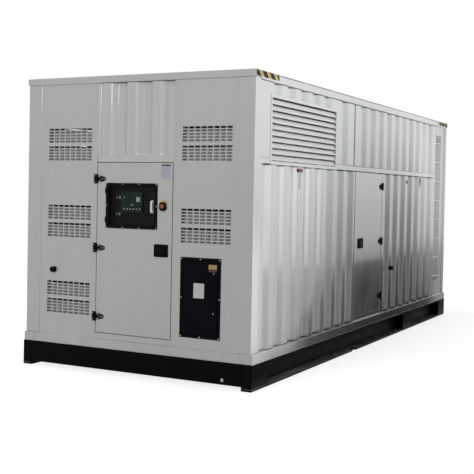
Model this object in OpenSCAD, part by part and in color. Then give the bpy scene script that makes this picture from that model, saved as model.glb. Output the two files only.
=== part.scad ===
// Containerised diesel generator set: a walk-in steel enclosure on a black base frame.
// +X is across the set, +Y along it, +Z up. The origin is on the floor at the middle of the base.
// The control end faces -Y. Millimetres.

/* [Overall] */
// Overall length of the base, along Y
length = 6058; // [5400:1:7270]
// Overall width of the base, along X
width = 2438; // [2220:1:2926]
// Overall height to the top of the roof rails
height = 2700; // [2640:1:3240]

/* [Base frame] */
// Height of the base frame
base_h = 225; // [200:1:270]
// Width of the side channels across their flanges
channel_w = 100; // [80:1:120]
// Thickness of the channel flanges
flange_t = 20; // [12:1:24]
// Thickness of the channel webs
web_t = 10; // [8:1:16]
// Length of the four corner feet
foot_l = 300; // [240:1:360]
// Gap between the ground and the end beams
end_beam_gap = 35; // [20:1:60]
// Depth of the end beams
end_beam_w = 110; // [90:1:130]
// Number of cross members under the floor
cross_count = 9; // [5:1:12]
// Height of the cross members
cross_h = 120; // [90:1:150]
// Flange width of the cross members
cross_w = 60; // [50:1:80]
// Thickness of the floor plate
floor_t = 6; // [4:1:12]
// Near edge of the jacking pads on the side channels
pad_y = 1109; // [900:1:1300]
// Length of the jacking pads
pad_l = 320; // [240:1:400]
// Near edge of the notch in the lower flanges
notch_y = -633; // [-800:1:-400]
// Width of the notch in the lower flanges
notch_w = 88; // [60:1:120]

/* [Enclosure frame] */
// How far the side walls stand in from the edge of the base
side_inset = 24; // [15:1:30]
// How far the end walls stand in from the edge of the base
end_inset = 20; // [12:1:30]
// Thickness of the insulated walls
wall_t = 90; // [75:1:108]
// Height of the bottom rails
bottom_rail_h = 85; // [70:1:102]
// Height of the top side rails
top_rail_h = 75; // [60:1:90]
// Width of the top side rails
top_rail_w = 90; // [70:1:108]
// Height of the end headers
header_h = 63; // [50:1:75]
// How far rails and headers stand proud of the walls
rail_proud = 14; // [6:1:14]
// Width of the corner posts across the ends
post_w = 155; // [130:1:186]
// Width of the corner posts along the sides
post_l = 100; // [95:1:120]
// How far the corner posts stand proud of the walls
post_proud = 6; // [2:1:12]
// Height of the underside of the mid rails
mid_rail_z = 1915; // [1915:1:1960]
// Height of the mid rails
mid_rail_h = 55; // [46:1:70]
// Thickness of the roof
roof_t = 55; // [40:1:60]
// Depth of the troughs in the roof
roof_trough = 20; // [10:1:24]

/* [Corrugation] */
// Distance from one trough to the next
corr_pitch = 288; // [250:1:345]
// Depth of the troughs
corr_depth = 36; // [24:1:43]
// Flat width at the bottom of a trough
corr_flat = 64; // [53:1:77]
// Width of the sloping side of a trough
corr_slope = 58; // [48:1:62]

/* [Doors] */
// Width of the door leaves
door_w = 800; // [667:1:830]
// Height of the door leaves
door_h = 1545; // [1400:1:1545]
// Thickness of the door leaves
door_t = 40; // [32:1:46]
// Height of the underside of the door leaves
door_z = 368; // [340:1:368]
// Clearance round the door leaves
door_gap = 5; // [5:1:8]
// Clearance at the latch edge of a leaf, which swings past its jamb
latch_gap = 7.5; // [7:0.5:10]
// Middle of the access door across the control end
door_x = 3; // [-20:1:20]
// Width of the side door leaves
side_door_w = 865; // [720:1:900]
// Middle of the side doors along the set
side_door_y = -162; // [-240:1:-80]
// Width of the door stops behind the leaf edges
stop_w = 30; // [20:1:36]
// Distance from the lowest and highest hinges to the ends of a leaf
hinge_inset = 146; // [120:1:170]
// Height of the latch handles above the underside of a leaf
handle_h = 774; // [700:1:850]
// Distance from the latch edge of the access door to the middle of its handle
handle_inset = 107; // [90:1:130]
// Distance from the latch edge of a side door to the middle of its handle
side_handle_inset = 177; // [90:1:200]

/* [Hinges] */
// Radius of the hinge knuckles
knuckle_r = 9; // [7:0.5:9.5]
// Radius of the hinge pins
pin_r = 4; // [3:0.5:5]
// Radial running clearance on the hinge pins
pin_fit = 0.05; // [0.02:0.01:0.1]
// Height of a whole hinge
hinge_h = 84; // [70:1:100]
// Reach of the tapered hinge strap over the leaf
strap_l = 92; // [80:1:115]
// Distance of the hinge pins in front of the wall face
pin_out = 12; // [11:0.5:14]

/* [Vents] */
// Width of the vent grilles
vent_w = 500; // [417:1:510]
// Height of the vent grilles
vent_h = 304; // [253:1:340]
// Number of holes across a grille
vent_cols = 8; // [6:1:9]
// Number of hole rows in each half of a grille
vent_rows = 5; // [4:1:5]
// Width of the bars between the holes of a row
vent_bar_w = 9.5; // [8:0.5:14]
// Height of a grille hole
vent_hole_h = 19; // [14:1:22]
// Height of the plain band across the middle of a grille
vent_band = 26; // [20:1:32]
// Height of the underside of the lowest grille
vent_z = 510; // [440:1:540]
// Distance from one grille up to the next
vent_pitch = 710; // [592:1:740]
// Distance from the access door to the grilles beside its hinges
vent_left_gap = 68; // [66:1:80]
// Distance from the access door to the grilles beside its latch
vent_right_gap = 88; // [60:1:100]
// Depth of the hoods behind the grilles
hood_d = 60; // [50:1:72]
// Height of the air slots in the back of a hood
hood_slot = 30; // [20:1:40]

/* [Louvres] */
// Length of the louvres
louvre_l = 1490; // [1240:1:1520]
// Number of blades in a louvre
louvre_blades = 10; // [8:1:10]
// Distance from one blade to the next
louvre_pitch = 53.9; // [45:0.1:55]
// Reach of a sloping blade behind the wall face
blade_reach = 15; // [12:1:40]
// Rise of a blade from its outer to its inner edge
blade_rise = 42; // [32:1:43]
// Thickness of a blade, measured upright
blade_t = 4; // [3:0.5:5]
// Height of the louvre openings above the underside of the mid rails
louvre_up = 29; // [28:1:42]
// Distance from the front edge of the base to the side louvres
louvre_from_front = 344; // [310:1:380]
// Width of the flat frame round a louvre
louvre_frame_w = 28; // [20:1:32]

/* [Control panel] */
// Distance from the hinge edge of the access door to the window frame
window_inset = 96; // [80:1:110]
// Distance from the window frame to the latch edge of the door
window_margin = 152; // [140:1:170]
// Height of the window frame
window_h = 408; // [340:1:480]
// Height of the window frame above the underside of the door
window_up = 956; // [900:1:1000]
// Width of the border of the window frame
window_border = 30; // [24:1:36]
// Depth of the control housing behind the door face
housing_d = 160; // [130:1:180]
// Depth of the instrument plate behind the door face
instrument_d = 50; // [40:1:60]
// Distance from the latch edge of the door to the middle of the stop button
stop_inset = 90; // [80:1:100]
// Height of the stop button above the underside of the door
stop_up = 1164; // [1100:1:1300]

/* [Cable box] */
// Distance from the access door to the cable box flange
cable_gap = 96; // [90:1:130]
// Width of the cable box flange
cable_w = 402; // [335:1:440]
// Height of the cable box flange
cable_h = 696; // [580:1:720]
// Height of the underside of the cable box flange
cable_z = 404; // [360:1:404]
// Width of the flange round the cable box door
cable_flange = 26; // [22:1:30]
// Depth of the cable box
cable_d = 200; // [167:1:240]

/* [Ladder] */
// Distance from the rear edge of the base to the ladder niche
ladder_from_rear = 289; // [260:1:330]
// Clear width of the ladder niche
ladder_w = 250; // [230:1:300]
// Depth of the ladder niche behind the wall face
ladder_d = 150; // [125:1:180]
// Height of the lowest rung
rung_z = 572; // [560:1:600]
// Distance from one rung to the next
rung_pitch = 260; // [240:1:270]
// Number of rungs
rung_count = 8; // [6:1:8]
// Radius of the rungs
rung_r = 12; // [10:1:15]

/* [Hidden] */

// Sheet thickness of small folded boxes and hoods
sheet = 3;
// Paint colours
white = [0.86, 0.87, 0.86];
black = [0.06, 0.06, 0.07];

hw = width / 2;
hl = length / 2;
// Outer faces of the walls
face_x = hw - side_inset;
face_y = hl - end_inset;
// Inner faces of the corner posts
post_in_x = face_x + post_proud - post_w;
post_in_y = face_y + post_proud - post_l;
// Top of the bottom rails and undersides of the top side rails and headers
wall_z = base_h + bottom_rail_h;
rail_z = height - top_rail_h;
header_z = height - header_h;
// Access door leaf and doorway
door_x0 = door_x - door_w / 2;
door_x1 = door_x + door_w / 2;
doorway_x0 = door_x0 - door_gap;
doorway_x1 = door_x1 + latch_gap;
// Side door leaf and doorway; the hinges are at the far edge
side_y0 = side_door_y - side_door_w / 2;
side_y1 = side_door_y + side_door_w / 2;
side_way_y0 = side_y0 - latch_gap;
side_way_y1 = side_y1 + door_gap;
door_top = door_z + door_h;
// Heights of the three hinges of a leaf
hinge_heights = [for (share = [0, 0.5, 1]) door_z + hinge_inset + share * (door_h - 2 * hinge_inset)];
// The hinge pins stand a little outside the hinge edge of a leaf
pin_in = 3;
// Ladder niche along the set
niche_y1 = hl - ladder_from_rear;
niche_y0 = niche_y1 - ladder_w;
niche_z0 = rung_z - 60;
niche_z1 = rung_z + rung_pitch * (rung_count - 1) + 110;
// Louvre openings
louvre_z = mid_rail_z + louvre_up;
// The lowest blade starts this far over the bottom of its opening
louvre_gap = 12;
louvre_h = louvre_blades * louvre_pitch + louvre_gap + 2;
louvre_y0 = louvre_from_front - hl;
// Window frame and housing corners on the access door
window_x0 = door_x0 + window_inset;
window_w = door_w - window_inset - window_margin;
window_z0 = door_z + window_up;
housing_edge = 12;
// Cable box corners
cable_x0 = door_x1 + cable_gap;
cable_lip = 8;

// A box between two corners
module block(lo, hi) {
    translate(lo) cube(hi - lo);
}

// The same pieces on the other side of the set
module both_sides() {
    children();
    mirror([1, 0, 0]) children();
}

// The same pieces at the other end of the set
module both_ends() {
    children();
    mirror([0, 1, 0]) children();
}

// Places pieces made for the control end, with the hinge pin at the origin, on the +X side
module on_side() {
    mirror([1, 1, 0]) children();
}

// Half the width of a trough at the wall face
trough_half = corr_flat / 2 + corr_slope;
// How deep the outer face lies at u, with troughs at the given centres
function dip(u, centres, depth) =
    depth * max([0, for (c = centres) min(1, (trough_half - abs(u - c)) / corr_slope)]);
// Outline of a wall from u0 to u1, t thick; a trough may run out at either edge
function wall_outline(u0, u1, t, centres, depth) = concat(
    [[u0, 0], [u1, 0], [u1, t - dip(u1, centres, depth)]],
    [for (i = [len(centres) - 1 : -1 : 0], s = [trough_half, corr_flat / 2, -corr_flat / 2, -trough_half])
        let (u = centres[i] + s)
            if (u > u0 + 1 && u < u1 - 1) [u, t - dip(u, centres, depth)]],
    [[u0, t - dip(u0, centres, depth)]]
);
// Centres of the troughs from first on, as many as fit before the edge at last
function trough_centres(first, last) =
    [for (c = [first : corr_pitch : last - trough_half]) c];

// A wall of the +X side, from y0 to y1
module side_slab(y0, y1, z0, z1, centres) {
    outline = wall_outline(y0, y1, wall_t, centres, corr_depth);
    translate([face_x - wall_t, 0, z0]) linear_extrude(z1 - z0)
        polygon([for (p = outline) [p[1], p[0]]]);
}

// A wall of the control end, from x0 to x1
module end_slab(x0, x1, z0, z1, centres) {
    outline = wall_outline(x0, x1, wall_t, centres, corr_depth);
    translate([0, wall_t - face_y, z0]) linear_extrude(z1 - z0)
        polygon([for (p = outline) [p[0], -p[1]]]);
}

// ---- base frame ----

module corner_feet() {
    color(black) both_sides() both_ends()
        block([hw - channel_w, hl - foot_l, 0], [hw, hl, base_h]);
}

module base_side_beams() {
    profile = [
        [0, 0], [channel_w, 0], [channel_w, flange_t], [web_t, flange_t],
        [web_t, base_h - flange_t], [channel_w, base_h - flange_t], [channel_w, base_h], [0, base_h]
    ];
    color(black) both_sides() union() {
        difference() {
            translate([hw - channel_w, hl - foot_l, 0]) rotate([90, 0, 0])
                linear_extrude(length - 2 * foot_l) polygon(profile);
            block([hw - channel_w / 2, notch_y, -1], [hw + 1, notch_y + notch_w, flange_t + 1]);
        }
        block([hw - channel_w, pad_y, 0], [hw, pad_y + pad_l, base_h]);
    }
}

module base_end_beams() {
    color(black) both_ends()
        block([channel_w - hw, hl - end_beam_w, end_beam_gap], [hw - channel_w, hl, base_h]);
}

module cross_members() {
    span = length - 2 * end_beam_w;
    lip = 8;
    profile = [
        [0, 0], [cross_w, 0], [cross_w, lip], [lip, lip],
        [lip, cross_h - lip], [cross_w, cross_h - lip], [cross_w, cross_h], [0, cross_h]
    ];
    color(black) for (i = [1 : cross_count])
        translate([channel_w - hw, span * (i / (cross_count + 1) - 0.5) - cross_w / 2, base_h - cross_h])
            rotate([90, 0, 90]) linear_extrude(width - 2 * channel_w) polygon(profile);
}

module floor_plate() {
    color([0.3, 0.31, 0.32]) block(
        [bottom_rail_in - hw, bottom_rail_in - hl, base_h],
        [hw - bottom_rail_in, hl - bottom_rail_in, base_h + floor_t]);
}

// ---- enclosure frame ----

// Inner edge of the bottom rails, from the edge of the base
bottom_rail_in = side_inset + wall_t + 5;

module bottom_side_rails() {
    color(white) both_sides()
        block([hw - bottom_rail_in, -hl + end_inset / 2, base_h], [hw, hl - end_inset / 2, wall_z]);
}

module bottom_end_rails() {
    color(white) both_ends()
        block([bottom_rail_in - hw, hl - bottom_rail_in, base_h],
            [hw - bottom_rail_in, hl - end_inset / 2, wall_z]);
}

module corner_posts() {
    color(white) both_sides() both_ends()
        block([post_in_x, post_in_y, wall_z], [post_in_x + post_w, post_in_y + post_l, header_z]);
}

module top_side_rails() {
    x1 = face_x + rail_proud;
    color(white) both_sides()
        block([x1 - top_rail_w, -post_in_y, rail_z], [x1, post_in_y, height]);
}

module end_headers() {
    x1 = face_x + rail_proud;
    color(white) both_ends()
        block([-x1, post_in_y, header_z], [x1, face_y + rail_proud - 2, height]);
}

module roof_panel() {
    x1 = face_x + rail_proud - top_rail_w;
    troughs = trough_centres(-post_in_y + corr_pitch / 2, post_in_y);
    outline = wall_outline(-post_in_y, post_in_y, roof_t, troughs, roof_trough);
    color(white) translate([x1, 0, rail_z]) rotate([90, 0, -90]) linear_extrude(2 * x1)
        polygon([for (p = outline) [-p[0], p[1]]]);
}

// Rails over the lower walls, cut down where the louvres stand on them
module mid_rails() {
    top = mid_rail_z + mid_rail_h;
    color(white) {
        both_sides() difference() {
            block([face_x - wall_t, -post_in_y, mid_rail_z], [face_x, niche_y0 - sheet, top]);
            block([face_x - wall_t - 1, louvre_y0, louvre_z], [face_x + 1, louvre_y0 + louvre_l, top + 1]);
        }
        difference() {
            block([-post_in_x, face_y - wall_t, mid_rail_z], [post_in_x, face_y, top]);
            block([-louvre_l / 2, face_y - wall_t - 1, louvre_z], [louvre_l / 2, face_y + 1, top + 1]);
        }
    }
}

// ---- control end wall ----

vent_x0 = [door_x0 - vent_left_gap - vent_w, door_x1 + vent_right_gap];
vent_hole_w = vent_w / vent_cols - vent_bar_w;
// Height of each half of a grille
vent_half = (vent_h - vent_band) / 2;

// Rows that each column of grilles has: three beside the hinges, the upper two over the cable box
vent_rows_left = [0, 1, 2];
vent_rows_right = [1, 2];
function vent_row_z(row) = vent_z + row * vent_pitch;

// One block for each vent opening of a column, through the wall
module vent_cutters(x0, rows) {
    for (row = rows)
        block([x0, -face_y - 1, vent_row_z(row)],
            [x0 + vent_w, wall_t - face_y + 1, vent_row_z(row) + vent_h]);
}

module front_wall_left() {
    color(white) difference() {
        end_slab(-post_in_x, doorway_x0, wall_z, header_z, []);
        vent_cutters(vent_x0[0], vent_rows_left);
    }
}

module front_wall_right() {
    color(white) difference() {
        end_slab(doorway_x1, post_in_x, wall_z, header_z, []);
        vent_cutters(vent_x0[1], vent_rows_right);
        block([cable_x0 + cable_lip, -face_y - 1, cable_z + cable_lip],
            [cable_x0 + cable_w - cable_lip, wall_t - face_y + 1, cable_z + cable_h - cable_lip]);
    }
}

// The panel over the door has closer troughs, and one runs out at each edge
over_pitch = 0.93 * corr_pitch;
over_shift = -40;
// Top of the flat band over the door
over_z = door_top + door_gap + 72;
// Spaces between its troughs
over_count = floor((doorway_x1 - doorway_x0) / over_pitch);

module front_wall_over_door() {
    color(white) union() {
        end_slab(doorway_x0, doorway_x1, door_top + door_gap, over_z, []);
        end_slab(doorway_x0, doorway_x1, over_z, header_z,
            [for (k = [0 : over_count]) door_x + over_shift + (k - over_count / 2) * over_pitch]);
    }
}

module door_sills() {
    color(white) {
        end_slab(doorway_x0, doorway_x1, wall_z, door_z - door_gap, []);
        both_sides() side_slab(side_way_y0, side_way_y1, wall_z, door_z - door_gap, []);
    }
}

// A frame behind the edges of a door leaf, from u0 to u1, in the plane of the control end
module stop_frame(u0, u1, top) {
    bottom = door_z - door_gap;
    back = wall_t - door_t - door_gap;
    difference() {
        block([u0, 0, bottom], [u1, back, top]);
        block([u0 + stop_w, -1, bottom + stop_w], [u1 - stop_w, back + 1, top - stop_w]);
    }
}

module door_stops() {
    behind = face_y - door_t - door_gap;
    color(white) {
        translate([0, -behind, 0]) stop_frame(doorway_x0, doorway_x1, door_top + door_gap);
        both_sides() on_side() translate([0, -(face_x - door_t - door_gap), 0])
            stop_frame(-side_way_y1, -side_way_y0, mid_rail_z);
    }
}

// ---- vents ----

// Rows of holes in both halves of a grille, with a plain band between them
module grille_holes() {
    for (side = [0, 1], row = [0 : vent_rows - 1], col = [0 : vent_cols - 1])
        translate([
            (col + 0.5) * vent_w / vent_cols - vent_hole_w / 2,
            side * (vent_half + vent_band) + (row + 0.5) * vent_half / vent_rows - vent_hole_h / 2
        ]) square([vent_hole_w, vent_hole_h]);
}

module grille() {
    rotate([90, 0, 0]) linear_extrude(sheet) difference() {
        square([vent_w, vent_h]);
        grille_holes();
    }
}

module each_vent() {
    for (row = vent_rows_left) translate([vent_x0[0], -face_y, vent_row_z(row)]) children();
    for (row = vent_rows_right) translate([vent_x0[1], -face_y, vent_row_z(row)]) children();
}

module vent_grilles() {
    color(white) each_vent() translate([0, sheet, 0]) grille();
}

// A folded tray behind each grille; its back has an air slot at the top of both halves
module vent_hoods() {
    color([0.8, 0.8, 0.78]) each_vent() difference() {
        block([0, sheet, 0], [vent_w, hood_d, vent_h]);
        block([sheet, 0, sheet], [vent_w - sheet, hood_d - sheet, vent_h - sheet]);
        for (top = [vent_half, vent_h - sheet])
            block([sheet, hood_d - sheet - 1, top - hood_slot], [vent_w - sheet, hood_d + 1, top]);
    }
}

// ---- hinges and latches, made with the pin at the origin and the wall face at y = pin_out ----

// The half that is fixed to the frame, with the pin
module frame_hinge() {
    plate_t = pin_out - 5;
    difference() {
        union() {
            block([-knuckle_r - 27, pin_out - plate_t, -hinge_h / 2], [-knuckle_r - 2, pin_out, hinge_h / 2]);
            for (z = [-hinge_h / 2, hinge_h / 4]) {
                translate([0, 0, z]) cylinder(r = knuckle_r, h = hinge_h / 4, $fn = 32);
                block([-knuckle_r - 4, 0, z], [0, knuckle_r - 1, z + hinge_h / 4]);
            }
            translate([0, 0, -hinge_h / 2]) cylinder(r = pin_r, h = hinge_h, $fn = 32);
        }
        for (z = [-hinge_h / 3, hinge_h / 3])
            translate([-knuckle_r - 18, 0, z]) rotate([-90, 0, 0])
                cylinder(r = 3, h = pin_out - plate_t + 2, $fn = 16);
    }
}

// The tapered half that is fixed to the leaf and turns on the pin; it has a neck beside the knuckle
module leaf_hinge() {
    barrel = hinge_h / 2 - 1;
    start = knuckle_r + 2;
    neck = 19;
    wide = 29;
    difference() {
        union() {
            translate([0, 0, -barrel / 2]) cylinder(r = knuckle_r, h = barrel, $fn = 32);
            block([0, 2, -barrel / 2], [start + 1, knuckle_r - 1, barrel / 2]);
            translate([0, pin_out, 0]) rotate([90, 0, 0]) linear_extrude(pin_out - 5)
                polygon([
                    [start, -neck], [start + 14, -neck], [start + 20, -wide],
                    [strap_l - 12, -17], [strap_l, -9], [strap_l, 9], [strap_l - 12, 17],
                    [start + 20, wide], [start + 14, neck], [start, neck]
                ]);
        }
        translate([0, 0, -barrel]) cylinder(r = pin_r + pin_fit, h = 2 * barrel, $fn = 32);
    }
}

// A rounded rectangle standing upright in the plane of the control end
module rounded_plate(w, h, t, r) {
    rotate([90, 0, 0]) linear_extrude(t) union() {
        translate([-w / 2 + r, -h / 2]) square([w - 2 * r, h]);
        translate([-w / 2, -h / 2 + r]) square([w, h - 2 * r]);
        for (x = [-1, 1], y = [-1, 1])
            translate([x * (w / 2 - r), y * (h / 2 - r)]) circle(r = r, $fn = 24);
    }
}

// Paddle latch on a door face at y = 0, facing -Y: a dished flange, the paddle in it and a key barrel
module paddle_latch() {
    w = 146;
    h = 112;
    flange = 5;
    rim = 7;
    floor_y = -3;
    dish_w = w - 30;
    dish_h = h - 30;
    paddle_w = 88;
    paddle_h = 34;
    difference() {
        union() {
            rounded_plate(w, h, flange, 12);
            translate([0, -flange, 0]) rounded_plate(w - 14, h - 14, rim, 8);
        }
        block([-dish_w / 2, -flange - rim - 1, -dish_h / 2], [dish_w / 2, floor_y, dish_h / 2]);
    }
    translate([-8, 0, 0]) rotate([90, 0, 90]) linear_extrude(paddle_w, center = true)
        polygon([[floor_y, -paddle_h - 2], [-15, -paddle_h + 4], [-9, paddle_h], [floor_y, paddle_h]]);
    translate([dish_w / 2 - 8, floor_y, 0]) rotate([90, 0, 0]) cylinder(r = 7, h = 8, $fn = 24);
}

module access_hinge_places() {
    for (z = hinge_heights) translate([door_x0 - pin_in, -face_y - pin_out, z]) children();
}

module side_hinge_places() {
    for (z = hinge_heights)
        translate([face_x + pin_out, side_y1 + pin_in, z]) on_side() children();
}

// ---- access door ----

module access_door() {
    color(white) difference() {
        block([door_x0, -face_y, door_z], [door_x1, door_t - face_y, door_top]);
        block([window_x0 + housing_edge, -face_y - 1, window_z0 + housing_edge],
            [window_x0 + window_w - housing_edge, door_t - face_y + 1, window_z0 + window_h - housing_edge]);
    }
}

module access_door_hinges() {
    color(black) access_hinge_places() leaf_hinge();
}

module access_door_handle() {
    color(black) translate([door_x1 - handle_inset, -face_y, door_z + handle_h]) paddle_latch();
}

module control_housing() {
    x0 = window_x0 + housing_edge;
    x1 = window_x0 + window_w - housing_edge;
    z0 = window_z0 + housing_edge;
    z1 = window_z0 + window_h - housing_edge;
    color(black) difference() {
        block([x0, -face_y, z0], [x1, housing_d - face_y, z1]);
        block([x0 + sheet, -face_y - 1, z0 + sheet], [x1 - sheet, housing_d - sheet - face_y, z1 - sheet]);
    }
}

module instrument_plate() {
    inset = housing_edge + sheet;
    color([0.1, 0.11, 0.12]) block(
        [window_x0 + inset, instrument_d - face_y, window_z0 + inset],
        [window_x0 + window_w - inset, instrument_d + sheet - face_y, window_z0 + window_h - inset]);
}

// The middle of the window; the controller sits a little above it and to the left
window_cx = window_x0 + window_w / 2;
window_cz = window_z0 + window_h / 2;
controller_x = window_cx - 20;
controller_z = window_cz + 31;
controller_w = 230;
controller_h = 182;
controller_t = 22;
// Sunk screen, from the middle of the controller
screen_lo = [44, 1];
screen_hi = [96, 55];
screen_d = 3;
// Two square instruments stand in a column beside the controller
gauge_size = 56;
gauge_x = controller_x - controller_w / 2 - 30;
gauge_rise = 75;

// One controller box with a sunk screen and a row of round buttons
module controller() {
    buttons = 6;
    button_pitch = 33.5;
    button_r = 8;
    button_up = 32;
    color([0.1, 0.13, 0.13]) translate([controller_x, instrument_d - face_y, controller_z]) {
        difference() {
            rounded_plate(controller_w, controller_h, controller_t, 8);
            block([screen_lo[0], -controller_t - 1, screen_lo[1]],
                [screen_hi[0], screen_d - controller_t, screen_hi[1]]);
        }
        for (k = [0 : buttons - 1])
            translate([(k - (buttons - 1) / 2) * button_pitch, -controller_t, button_up - controller_h / 2])
                rotate([90, 0, 0]) cylinder(r = button_r, h = 4, $fn = 24);
    }
}

module gauges() {
    bezel_t = 10;
    color([0.2, 0.22, 0.22]) for (side = [-1, 1])
        translate([gauge_x, instrument_d - face_y, window_cz + side * gauge_rise]) {
            rounded_plate(gauge_size, gauge_size, bezel_t, 5);
            translate([0, -bezel_t, 0]) rotate([90, 0, 0]) cylinder(r = 0.4 * gauge_size, h = 3, $fn = 48);
            translate([0, -bezel_t - 3, 0]) rotate([90, 0, 0]) cylinder(r = 9, h = 9, $fn = 32);
        }
}

module control_window_frame() {
    t = 6;
    x1 = window_x0 + window_w;
    z1 = window_z0 + window_h;
    color(black) union() {
        difference() {
            block([window_x0, -face_y - t, window_z0], [x1, -face_y, z1]);
            block([window_x0 + window_border, -face_y - t - 1, window_z0 + window_border],
                [x1 - window_border, -face_y + 1, z1 - window_border]);
        }
        for (z = [window_z0 + 76, z1 - 72]) window_hinge(z);
    }
}

// A short hinge knuckle on the edge of the window frame, with its middle at height z
module window_hinge(z) {
    h = 48;
    r = 6;
    out = 10;
    translate([window_x0 + 1, -face_y - out, z - h / 2]) cylinder(r = r, h = h, $fn = 24);
    block([window_x0 + 1, -face_y - out, z - h / 2], [window_x0 + 11, 5 - out - face_y, z + h / 2]);
}

module control_window() {
    inset = housing_edge + sheet + 2;
    color([0.3, 0.35, 0.36, 0.35]) block(
        [window_x0 + inset, -face_y, window_z0 + inset],
        [window_x0 + window_w - inset, 4 - face_y, window_z0 + window_h - inset]);
}

module window_handle() {
    edge = 52;
    plate_t = 6;
    out = 18;
    color([0.75, 0.76, 0.77]) translate([window_x0 + window_w - edge, -face_y, window_cz - 2]) {
        rounded_plate(28, 110, plate_t, 6);
        for (z = [-38, 26]) block([-7, -out, z], [7, -plate_t, z + 12]);
        translate([0, -out, 0]) rounded_plate(18, 96, 6, 6);
    }
}

module stop_place() {
    translate([door_x1 - stop_inset, -face_y, door_z + stop_up]) children();
}

module stop_button_plate() {
    color([0.9, 0.75, 0.1]) stop_place() block([-26, -2, -30], [26, 0, 50]);
}

module stop_button_guard() {
    color(black) stop_place() translate([0, -2, 0]) difference() {
        rounded_plate(62, 74, 22, 20);
        translate([0, -8, 0]) rotate([90, 0, 0]) cylinder(r = 26, h = 20, $fn = 48);
    }
}

module stop_button() {
    color([0.8, 0.15, 0.08]) stop_place() translate([0, -10, 0]) rotate([90, 0, 0]) union() {
        cylinder(r = 12, h = 12, $fn = 32);
        translate([0, 0, 12]) rotate_extrude($fn = 48)
            polygon([[0, 0], [20, 0], [21, 4], [19, 8], [12, 11], [0, 12]]);
    }
}

// ---- cable box ----

cable_door_x0 = cable_x0 + cable_flange + door_gap;
cable_door_x1 = cable_x0 + cable_w - cable_flange - latch_gap;
cable_door_z0 = cable_z + cable_flange + door_gap;
cable_door_z1 = cable_z + cable_h - cable_flange - door_gap;
cable_flange_t = 4;
cable_door_t = 18;
// Pins of the small hinges, in front of the door face
cable_pin_out = 8;
cable_knuckle_r = 6;
cable_hinge_h = 60;
cable_hinge_heights = [0.31, 0.83];

module cable_box() {
    x0 = cable_x0 + cable_lip;
    x1 = cable_x0 + cable_w - cable_lip;
    z0 = cable_z + cable_lip;
    z1 = cable_z + cable_h - cable_lip;
    color(black) difference() {
        union() {
            block([cable_x0, -face_y - cable_flange_t, cable_z],
                [cable_x0 + cable_w, -face_y, cable_z + cable_h]);
            block([x0, -face_y, z0], [x1, cable_d - face_y, z1]);
            cable_hinge_places() cable_frame_hinge();
        }
        block([x0 + sheet, 1 - face_y, z0 + sheet], [x1 - sheet, cable_d - sheet - face_y, z1 - sheet]);
        block([cable_x0 + cable_flange, -face_y - cable_flange_t - 1, cable_z + cable_flange],
            [cable_x0 + cable_w - cable_flange, 2 - face_y, cable_z + cable_h - cable_flange]);
    }
}

module cable_hinge_places() {
    for (k = cable_hinge_heights)
        translate([cable_door_x0 - pin_in, -face_y - cable_flange_t - cable_pin_out, cable_z + k * cable_h])
            children();
}

module cable_frame_hinge() {
    part = cable_hinge_h / 2;
    translate([0, 0, -part]) cylinder(r = cable_knuckle_r, h = part - 0.5, $fn = 24);
    block([-18, 0, -part], [0, cable_knuckle_r - 1, -0.5]);
    block([-18, 0, -part], [-9, cable_pin_out, part]);
    translate([0, 0, -part]) cylinder(r = 2.5, h = cable_hinge_h - 4, $fn = 24);
}

module cable_leaf_hinge() {
    part = cable_hinge_h / 2;
    difference() {
        union() {
            translate([0, 0, 0.5]) cylinder(r = cable_knuckle_r, h = part - 0.5, $fn = 24);
            block([0, 1, 0.5], [cable_knuckle_r + 8, cable_knuckle_r - 1, part]);
            block([cable_knuckle_r + 2, 1, 0.5], [cable_knuckle_r + 14, cable_pin_out, part]);
        }
        translate([0, 0, -1]) cylinder(r = 2.5 + pin_fit, h = cable_hinge_h, $fn = 24);
    }
}

module cable_box_door() {
    y0 = -face_y - cable_flange_t;
    color(black) block([cable_door_x0, y0, cable_door_z0], [cable_door_x1, y0 + cable_door_t, cable_door_z1]);
}

module cable_door_hinges() {
    color(black) cable_hinge_places() cable_leaf_hinge();
}

module cable_door_locks() {
    color([0.6, 0.6, 0.6]) for (k = [0.322, 0.814])
        translate([cable_door_x1 - 33, -face_y - cable_flange_t, cable_z + k * cable_h]) {
            rotate([90, 0, 0]) cylinder(r = 10, h = 5, $fn = 32);
            translate([0, -5, 0]) rounded_plate(6, 14, 3, 2.5);
        }
}

// ---- long sides ----

// Flat strips beside the side doors
flat_near = 55;
flat_far = 114;
// Troughs nearest the control end, from the inner face of the corner post
first_lower = 147;
first_upper = 348;
// Beyond the side louvres, one trough and then an open joint between two panels
joint_trough = 248;
joint_from_louvre = 545;
joint_y = louvre_y0 + louvre_l + joint_from_louvre;
joint_w = 30;
joint_depth = 30;
// First trough beyond the joint
joint_next = 279;

module side_walls_lower() {
    near = trough_centres(-post_in_y + first_lower, side_way_y0 - flat_near);
    far = trough_centres(side_way_y1 + flat_far + trough_half, niche_y0 - sheet - 20);
    color(white) both_sides() {
        side_slab(-post_in_y, side_way_y0, wall_z, mid_rail_z, near);
        side_slab(side_way_y1, niche_y0 - sheet, wall_z, mid_rail_z, far);
    }
}

module side_walls_upper() {
    louvre_y1 = louvre_y0 + louvre_l;
    troughs = concat(
        trough_centres(-post_in_y + first_upper, louvre_y1),
        [louvre_y1 + joint_trough],
        trough_centres(joint_y + joint_next, niche_y0 - sheet - 20));
    color(white) both_sides() difference() {
        side_slab(-post_in_y, niche_y0 - sheet, mid_rail_z + mid_rail_h, rail_z, troughs);
        block([face_x - wall_t - 1, louvre_y0, mid_rail_z], [face_x + 1, louvre_y1, louvre_z + louvre_h]);
        block([face_x - joint_depth, joint_y - joint_w / 2, mid_rail_z],
            [face_x + 1, joint_y + joint_w / 2, height]);
    }
}

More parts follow.
